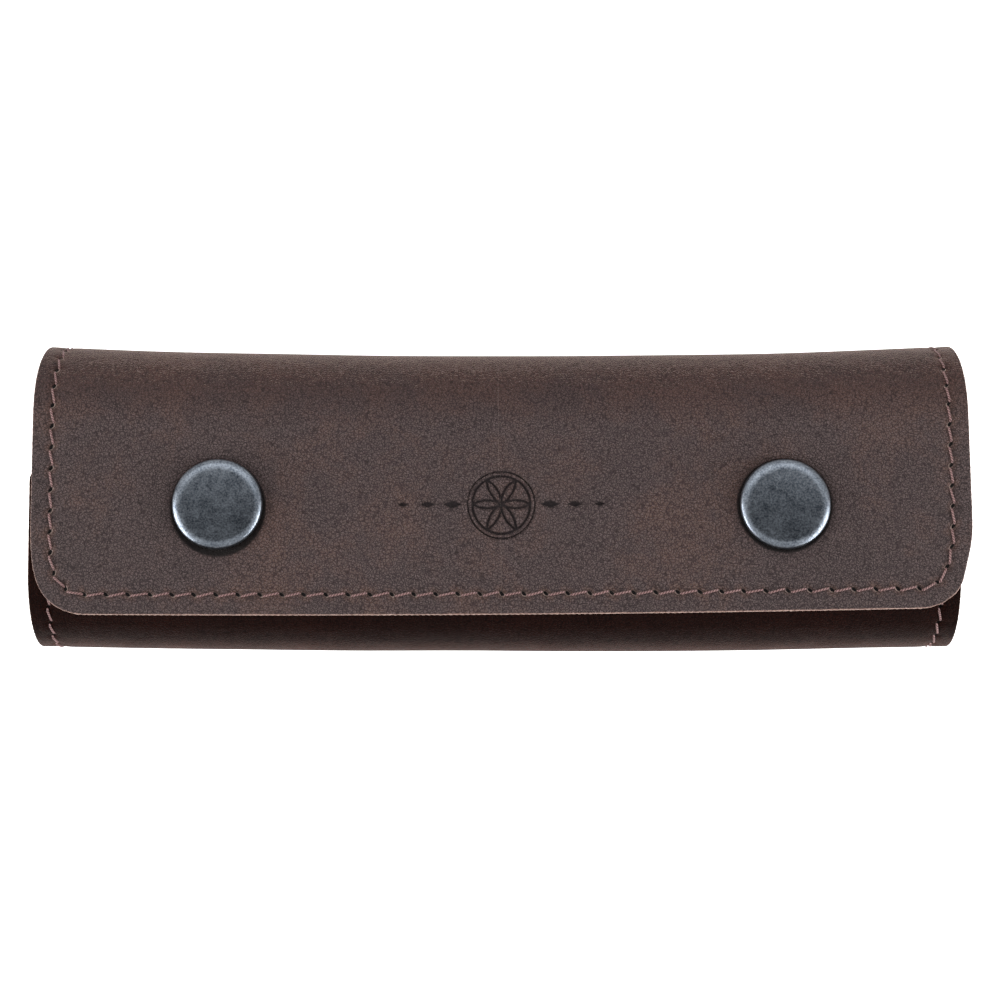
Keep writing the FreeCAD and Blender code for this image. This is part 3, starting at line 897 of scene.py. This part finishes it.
line = add(rows, "GeometryNodeCurvePrimitiveLine", (-0.5, 0, 0), (0.5, 0, 0)).outputs[0]
line = add(rows, "GeometryNodeResampleCurve", line, None, 7).outputs[0]
half_way = numbers(add(rows, "ShaderNodeSeparateXYZ", add(rows, "GeometryNodeInputPosition").outputs[0]))[0]
dip = abs(half_way * 2.0).math("POWER", 5.0)
dipped = add(rows, "ShaderNodeCombineXYZ", half_way, 0.0, rise - dip * (rise + dive)).outputs[0]
line = add(rows, "GeometryNodeSetPosition", line, None, dipped).outputs[0]
line, along_thread = captured(line, "along", half_way)
ring = fill(add(rows, "GeometryNodeTransform", add(rows, "GeometryNodeCurvePrimitiveCircle", 8).outputs[0]),
            {"Scale": (0.5, 0.5, 0.5)}).outputs[0]
ring, around = captured(ring, "around", add(rows, "GeometryNodeSplineParameter").outputs["Factor"])
thick = add(rows, "GeometryNodeSetCurveRadius", line, None, rin[1]).outputs[0]
tube = fill(rows.nodes.new("GeometryNodeCurveToMesh"), {"Curve": thick, "Profile Curve": ring, "Fill Caps": True})
if "Scale" in tube.inputs:
    join(add(rows, "GeometryNodeInputRadius").outputs[0], tube.inputs["Scale"])
angle = around * (2 * math.pi)
ply_place = add(rows, "ShaderNodeCombineXYZ", along_thread, angle.math("COSINE"), angle.math("SINE")).outputs[0]
one_thread = fill(add(rows, "GeometryNodeStoreNamedAttribute", data_type="FLOAT_VECTOR"),
                  {"Geometry": tube.outputs[0], "Name": "ply", "Value": ply_place}).outputs[0]


def given_out(node):
    return next(socket for socket in node.outputs if socket.enabled)


def named(name, kind):
    return given_out(add(rows, "GeometryNodeInputNamedAttribute", name, data_type=kind))


def uneven(low, high, offset):
    """A random number for each stitch, scaled by the Unevenness input."""
    node = add(rows, "FunctionNodeRandomValue", low, high, data_type="FLOAT")
    fill(node, {"Seed": seed + offset})
    return Number(given_out(node)) * unevenness


def turned_to(axis, vector, rotation=None):
    """A rotation turned further so that one axis points along a vector."""
    node = add(rows, "FunctionNodeAlignRotationToVector", axis=axis, pivot_axis="X" if rotation else "AUTO")
    return fill(node, {"Rotation": rotation, "Vector": vector}).outputs[0]


heading = turned_to("Z", named("up", "FLOAT_VECTOR"), turned_to("X", named("along", "FLOAT_VECTOR")))
skew = add(rows, "ShaderNodeCombineXYZ", 0.0, 0.0, slant + uneven(-1.0, 1.0, 0)).outputs[0]
skewed = add(rows, "FunctionNodeRotateRotation", heading, skew, rotation_space="LOCAL").outputs[0]
length = Number(named("reach", "FLOAT")) * calculated(rows, "ADD", 1.0, uneven(-1.0, 0.6, 9))
sewn = fill(rows.nodes.new("GeometryNodeInstanceOnPoints"), {
    "Points": rin[0], "Instance": one_thread, "Rotation": skewed,
    "Scale": add(rows, "ShaderNodeCombineXYZ", length, 1.0, 1.0).outputs[0]}).outputs[0]
solid = add(rows, "GeometryNodeRealizeInstances", sewn).outputs[0]
smooth_thread = add(rows, "GeometryNodeSetShadeSmooth", solid).outputs[0]
join(add(rows, "GeometryNodeSetMaterial", smooth_thread, None, rin[7]).outputs[0], rout[0])
print("stitch tree has", len(rows.nodes), "nodes")

# %% Thread material
THREAD_COLOUR_AND_PLY_SHADE = [(0.0, (0.055, 0.022, 0.022)), (0.55, (0.17, 0.085, 0.080)), (1.0, (0.30, 0.175, 0.165))]
PLIES, TWIST = 2.0, 38.0
thread, tree, shader = material("waxed thread")
along_ply, cosine, sine = numbers(add(tree, "ShaderNodeSeparateXYZ", attribute(tree, "ply", "Vector")))
# Painted shade and highlight: the thread's own colour is darkened in the grooves between the plies and lightened on
# their crowns, and the same wave bumps them.
lit = (sine.math("ARCTAN2", cosine) * PLIES + along_ply * TWIST).math("SINE").level(-1.0, 1.0)
fill(shader, {"Base Color": ramp(tree, lit, THREAD_COLOUR_AND_PLY_SHADE), "Roughness": 0.5})
bumped(shader, lit, 0.8, 0.1 * MM)


# %% Sew the seams
def applied(thing):
    """The evaluated mesh of an object, in a new object with no modifiers."""
    mesh = bpy.data.meshes.new_from_object(thing.evaluated_get(bpy.context.evaluated_depsgraph_get()))
    name = thing.name
    bpy.data.objects.remove(thing)
    return in_scene(name, mesh)


def sew(name, side, spots):
    """Thread for a list of stitches of one side."""
    x, s = np.array([spot[0] for spot in spots]).T
    aim = np.array([spot[1] for spot in spots])
    point, along_x, along_s, normal = sheet_frame(side, x, s, SEAM_SINK)
    mesh = bpy.data.meshes.new(name)
    mesh.from_pydata(point.tolist(), [], [])
    tag(mesh, "along", aim[:, :1] * along_x + aim[:, 1:] * along_s)
    tag(mesh, "up", normal)
    tag(mesh, "reach", [spot[2] * THREAD_REACH for spot in spots])
    thing = in_scene(name, mesh)
    modifier = thing.modifiers.new("stitches", "NODES")
    modifier.node_group = rows
    chosen = {"Thickness": THREAD, "Rise": THREAD_RISE, "Dive": THREAD_DIVE, "Slant": THREAD_SLANT,
              "Unevenness": UNEVENNESS, "Seed": len(spots), "Material": thread}
    for item in rows.interface.items_tree:
        if item.in_out == "INPUT" and item.name in chosen:
            modifier[item.identifier] = chosen[item.name]
    return applied(thing)


for side in (flap_side, front_side):
    cuts, spots = body_middles(side), seams[side].stitches()
    ranges = [(0.0, cuts[0][0], "back", None)] + cuts + [(cuts[-1][1], math.inf, side.last, None)]
    for start, end, first, second in ranges:
        name = f"seam_{first}_to_{second}" if second else f"seam_{first}_{side.last}_side"
        thing = sew(name, side, [spot for spot in spots if start <= spot[0][1] < end])
        if second:
            settle(thing, [f"seam_{second}"] if second != side.last else [])
            blend_between(thing, side, start, end)
        else:
            settle(thing, [f"seam_{first}"], first)
    print(side.last, "side sewn with", len(spots), "stitches")

# %% [markdown]
# ## Brush loops
#
# A second, thinner leather is sewn over the lining in arches, and each arch holds one brush. Its cross-section is one
# path that runs flat on the lining, folds up, goes over the arch and folds down again, so every piece of it is that
# path given its thickness and carried along the roll. Loops stay rigid on their bodies, and the flat webs between them
# are not attached to any body.

# %% Loop builder
pocket_low, pocket_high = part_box("pocket_back")
front_pocket_low, front_pocket_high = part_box("pocket_front")
POCKET = 0.8 * MM
WEB_DEPTH = lining_top + POCKET / 2
ARCH, ARCH_RISE = 4.1 * MM, 3.7 * MM
ARCH_CENTRE = lining_top + ARCH_RISE
FOOT, FOOT_BEND, FOOT_RISE = 3.4 * MM, 0.35 * MM, 0.5 * MM
LOOP_REACH = 4.7 * MM


def loop_path(centre, scale=1.0):
    """The path over one brush loop, as (distance, depth), from foot to foot; scale widens its feet in a bend."""
    start = [(-LOOP_REACH, WEB_DEPTH), (-FOOT - FOOT_BEND, WEB_DEPTH), (-FOOT, WEB_DEPTH + FOOT_RISE)]
    turns = [math.radians(a) for a in range(200, -21, -20)]
    over = [(ARCH * math.cos(a), ARCH_CENTRE + ARCH * math.sin(a)) for a in turns]
    path = start + over + [(-x, y) for x, y in reversed(start)]
    for _ in range(2):
        cut = [path[0]]
        for (x0, y0), (x1, y1) in zip(path, path[1:]):
            cut += [(x0 * 0.75 + x1 * 0.25, y0 * 0.75 + y1 * 0.25), (x0 * 0.25 + x1 * 0.75, y0 * 0.25 + y1 * 0.75)]
        path = cut + [path[-1]]
    top = ARCH_CENTRE + ARCH
    return [(centre + x * (1 + (scale - 1) * (top - y) / (top - WEB_DEPTH)), y) for x, y in path]


def any_point(x, s, depth):
    """A point of the sheet where s is negative on the front side."""
    if s >= 0:
        return sheet_point(flap_side, x, s, depth)
    return sheet_point(front_side, x, -s, depth)


def ribbon(name, path, x0, x1):
    """A closed strip of pocket leather: a path across the roll with thickness, carried along the roll."""
    places = spread([(x0, 0), (x1, 4 * MM)])
    sections, flats = [], []
    run = np.concatenate([[0], np.cumsum([math.dist(a, b) for a, b in zip(path, path[1:])])])
    for x in places:
        middle = np.array([any_point(x, s, depth) for s, depth in path])
        tangent = np.gradient(middle, axis=0)
        square = np.stack([np.zeros(len(path)), -tangent[:, 2], tangent[:, 1]], -1)
        square /= np.linalg.norm(square, axis=1, keepdims=True)
        sections.append(np.concatenate([middle + square * POCKET / 2, (middle - square * POCKET / 2)[::-1]]))
        for depth, runs in ((0, run), (POCKET, run[::-1])):
            flats += [(x, path[0][0] + r, depth) for r in runs]
    size, n, faces = len(sections[0]), len(path), []
    for k in range(0, (len(places) - 1) * size, size):
        for i in range(size):
            j = (i + 1) % size
            faces.append((k + i, k + j, k + size + j, k + size + i))
    for k in (0, (len(places) - 1) * size):
        faces += [(k + i, k + i + 1, k + size - 2 - i, k + size - 1 - i) for i in range(n - 1)]
    mesh = bpy.data.meshes.new(name)
    mesh.from_pydata(np.concatenate(sections).tolist(), [], faces)
    tag(mesh, "flat", flats)
    shut(mesh)
    mesh.set_sharp_from_angle(angle=math.radians(50))
    mesh.materials.append(loop_leather)
    thing = in_scene(name, mesh)
    rounded = thing.modifiers.new("edge", "BEVEL")
    rounded.width, rounded.segments = 0.15 * MM, 2
    rounded.limit_method, rounded.angle_limit = "ANGLE", math.radians(60)
    return applied(thing)


# %% Sew in the brush loops
LOOP_FROM_BOTTOM, LOOP_PITCH, BACK_LOOPS = 7.5 * MM, 10 * MM, 3
PANEL_START, PANEL_END = 3.5 * MM * 0.7, 0.4 * MM
FRONT_LOOP, FRONT_END = 7.2 * MM, 1.2 * MM
back_half = flap_side.bend_start
back_centres = [-back_half + LOOP_FROM_BOTTOM + i * LOOP_PITCH for i in range(BACK_LOOPS)]
path = [(-back_half + PANEL_START, WEB_DEPTH)]
for centre in back_centres:
    path += loop_path(centre)
path.append((back_half - PANEL_END, WEB_DEPTH))
thing = ribbon("pocket_back_loops", path, pocket_low.x, pocket_high.x)
settle(thing, ["pocket_back"], "back")
print("back loops at", [round(c / MM, 1) for c in back_centres])

hinge = front_side.hinge_s
bend_scale = front_side.radius / (front_side.radius - WEB_DEPTH)
strip = hinge["bottom_2"] - hinge["bottom_1"]
web_ends = [back_half - PANEL_START]
for body in ("bottom_1", "bottom_3", "bottom_5"):
    path = loop_path(-hinge[body] - strip / 2, bend_scale)
    thing = ribbon(f"pocket_loop_{body}", path, pocket_low.x, pocket_high.x)
    settle(thing, ["pocket_" + body], body)
    web_ends += [-path[-1][0], -path[0][0]]
path = [(-front_side.length + FRONT_END, WEB_DEPTH)] + loop_path(-front_side.bend_end - FRONT_LOOP)
thing = ribbon("pocket_front_loop", path, front_pocket_low.x, front_pocket_high.x)
settle(thing, ["pocket_front"], "front")
web_ends.append(-path[-1][0])
print("webs between", [round(v / MM, 1) for v in web_ends])


def web(name, start, end, nodes, x0):
    """The flat pocket leather between two loops on neighbouring bodies."""
    count = max(3, round((end - start) / (1.2 * MM)))
    path = [(-(end + (start - end) * i / count), WEB_DEPTH) for i in range(count + 1)]
    thing = ribbon(name, path, x0, pocket_high.x)
    settle(thing, nodes)
    blend_between(thing, front_side, start, end)


web("pocket_web_back_bottom_1", web_ends[0], web_ends[1], [], pocket_low.x)
for start, end, first, middle, last in ((web_ends[2], web_ends[3], "bottom_1", "bottom_2", "bottom_3"),
                                        (web_ends[4], web_ends[5], "bottom_3", "bottom_4", "bottom_5")):
    half_way = (start + end) / 2
    web(f"pocket_web_{first}_{middle}", start, half_way, ["pocket_" + middle], pocket_low.x)
    web(f"pocket_web_{middle}_{last}", half_way, end, [], pocket_low.x)
web("pocket_web_bottom_5_front", web_ends[6], web_ends[7], [], front_pocket_low.x)

# %% [markdown]
# ## Snaps
#
# The caps are pressed brass with an antique gunmetal finish: an almost flat face, a rolled rim that turns right under,
# and a post whose end is flared inside the socket. One profile spun round gives all of that. The socket, spring, stud
# and rivet behind them keep the frame's own shapes.

# %% Metal
def metal(name, dark, light, rough_low, rough_high):
    """A plated metal with fine specks, darker and smoother or lighter and rougher in patches."""
    made, tree, shader = material(name)
    place = add(tree, "ShaderNodeTexCoord").outputs["Object"]
    speck = noise(tree, place, 2600.0, 3.0, 0.6)
    tone = noise(tree, place, 330.0, 4.0, 0.6) * 0.35 + speck * 0.65
    fill(shader, {"Base Color": ramp(tree, tone, [(0.36, dark), (0.64, light)]),
                  "Roughness": tone.level(0.35, 0.65, rough_low, rough_high), "Metallic": 1.0})
    bumped(shader, speck, 0.25, 0.05 * MM)
    return made


gunmetal = metal("antique gunmetal", (0.058, 0.069, 0.087), (0.230, 0.256, 0.290), 0.31, 0.40)
nickel = metal("worn nickel", (0.22, 0.21, 0.195), (0.38, 0.365, 0.34), 0.38, 0.50)
for name in ("snap_sockets", "snap_springs", "snap_studs", "snap_rivets"):
    node = frame["nodes"][name]
    node.data.materials.clear()
    node.data.materials.append(nickel)

# %% Caps
FACE_RISE = 0.22 * MM
RIM_WIDTH, RIM_HEIGHT, RIM_STEPS = 2.6 * MM, 1.78 * MM, 24
RIM_SLOPES = [(0.0, 3), (0.35, 13), (0.60, 28), (0.88, 42), (1.0, 84)]
UNDER_RIM = [(0.0, -0.12), (0.2, -0.3), (0.5, -0.34), (1.0, -0.2), (1.3, 0.4)]
POST, FLARE = 1.3 * MM, 1.9 * MM
POST_PAST_LINING = 0.7 * MM
cap_at, _, cap_out = flap_side.at(cap_s)
face_edge = CAP_RADIUS - RIM_WIDTH
profile = [(face_edge * k / 6, RIM_HEIGHT + FACE_RISE * (1 - (k / 6) ** 2)) for k in range(7)]
for k in range(1, RIM_STEPS + 1):
    slope = np.interp((k - 0.5) / RIM_STEPS, [u for u, _ in RIM_SLOPES], [a for _, a in RIM_SLOPES])
    radius, height = profile[-1]
    step = RIM_WIDTH / RIM_STEPS
    profile.append((radius + step, height - step * math.tan(math.radians(slope))))
print("the cap's rim ends", round(profile[-1][1] / MM, 2), "mm above the leather")
profile += [(CAP_RADIUS - inward * MM, height * MM) for inward, height in UNDER_RIM]
profile += [(POST + 1.2 * MM, 0.5 * MM), (POST, 0.3 * MM), (POST, -lining_top - 0.35 * MM),
            (FLARE, -lining_top - 0.45 * MM), (FLARE, -lining_top - POST_PAST_LINING),
            (0.0, -lining_top - POST_PAST_LINING)]


def spun(name, profile, centre, axis, turns=96):
    """A profile of (radius, height) spun round an axis, its two ends closed on the axis."""
    side_axis = Vector((1, 0, 0))
    third = axis.cross(side_axis)
    verts, faces, rings = [], [], []
    for radius, height in profile:
        if radius == 0:
            rings.append([len(verts)])
            verts.append(centre + axis * height)
            continue
        rings.append(list(range(len(verts), len(verts) + turns)))
        for k in range(turns):
            a = 2 * math.pi * k / turns
            verts.append(centre + axis * height + (side_axis * math.cos(a) + third * math.sin(a)) * radius)
    for upper, lower in zip(rings, rings[1:]):
        for k in range(turns):
            n = (k + 1) % turns
            if len(upper) == 1:
                faces.append((upper[0], lower[k], lower[n]))
            elif len(lower) == 1:
                faces.append((upper[k], lower[0], upper[n]))
            else:
                faces.append((upper[k], lower[k], lower[n], upper[n]))
    mesh = bpy.data.meshes.new(name)
    mesh.from_pydata([tuple(v) for v in verts], [], faces)
    shut(mesh)
    mesh.set_sharp_from_angle(angle=math.radians(60))
    return in_scene(name, mesh)


for way, hand in ((-1, "left"), (1, "right")):
    thing = spun(f"snap_cap_{hand}", profile, Vector((way * CAP_X, *cap_at)), Vector((0, *cap_out)))
    thing.data.materials.append(gunmetal)
    settle(thing, ["snap_caps"], "flap")
print("caps at", [round(v / MM, 2) for v in (CAP_X, *cap_at)], "radius", round(CAP_RADIUS / MM, 2))

# %% [markdown]
# ## Light
#
# The case lies on a white lit table, in a studio whose walls glow in a belt round it and whose ceiling is dark, which
# keeps the caps' faces dark. A large soft box behind it is the main light, a weaker one in front fills, and two narrow
# ones low at the near corners make the bright crescents on the caps.

# %% Floor and light
FLOOR, FLOOR_DROP = 3.0, 0.3 * MM
CEILING_GLOW, BELT_GLOW = 0.06, 0.92
floor_mesh = bpy.data.meshes.new("floor")
floor_mesh.from_pydata([(-FLOOR, -FLOOR, 0), (FLOOR, -FLOOR, 0), (FLOOR, FLOOR, 0), (-FLOOR, FLOOR, 0)], [],
                       [(0, 1, 2, 3)])
floor = in_scene("floor", floor_mesh)
floor.location.z = -FLOOR_DROP
paper, tree, shader = material("white table")
fill(shader, {"Base Color": (0.85, 0.85, 0.85), "Roughness": 0.9, "Emission Color": (1.0, 1.0, 1.0),
              "Emission Strength": add(tree, "ShaderNodeLightPath").outputs["Is Camera Ray"]})
floor.data.materials.append(paper)

world = bpy.data.worlds.new("studio")
world.use_nodes = True
tree = world.node_tree
seen = Number(add(tree, "ShaderNodeLightPath").outputs["Is Camera Ray"])
outlook = add(tree, "ShaderNodeTexCoord").outputs["Generated"]
belt = numbers(add(tree, "ShaderNodeSeparateXYZ", outlook))[2].level(0.70, 0.88, BELT_GLOW, CEILING_GLOW)
fill(tree.nodes["Background"], {"Color": (1.0, 1.0, 1.0), "Strength": belt * (1.0 - seen) + seen})
bpy.context.scene.world = world
bpy.context.scene.view_settings.view_transform = "Standard"


def softbox(name, place, aim, width, height, power):
    light = bpy.data.lights.new(name, "AREA")
    light.shape, light.size, light.size_y, light.energy = "RECTANGLE", width, height, power
    box = in_scene(name, light)
    box.location = place
    box.rotation_euler = (Vector(aim) - Vector(place)).to_track_quat("-Z", "Y").to_euler()


softbox("back box", (0.0, 0.90, 0.80), (0, 0, 0), 2.0, 0.8, 9.0)
softbox("front box", (0.0, -0.62, 1.05), (0, 0, 0), 1.2, 0.5, 1.6)
softbox("left box", (-0.68, -0.20, 0.18), (0, 0, 0.03), 0.62, 0.24, 6.2)
softbox("right box", (0.65, -0.26, 0.18), (0, 0, 0.03), 0.60, 0.24, 6.2)
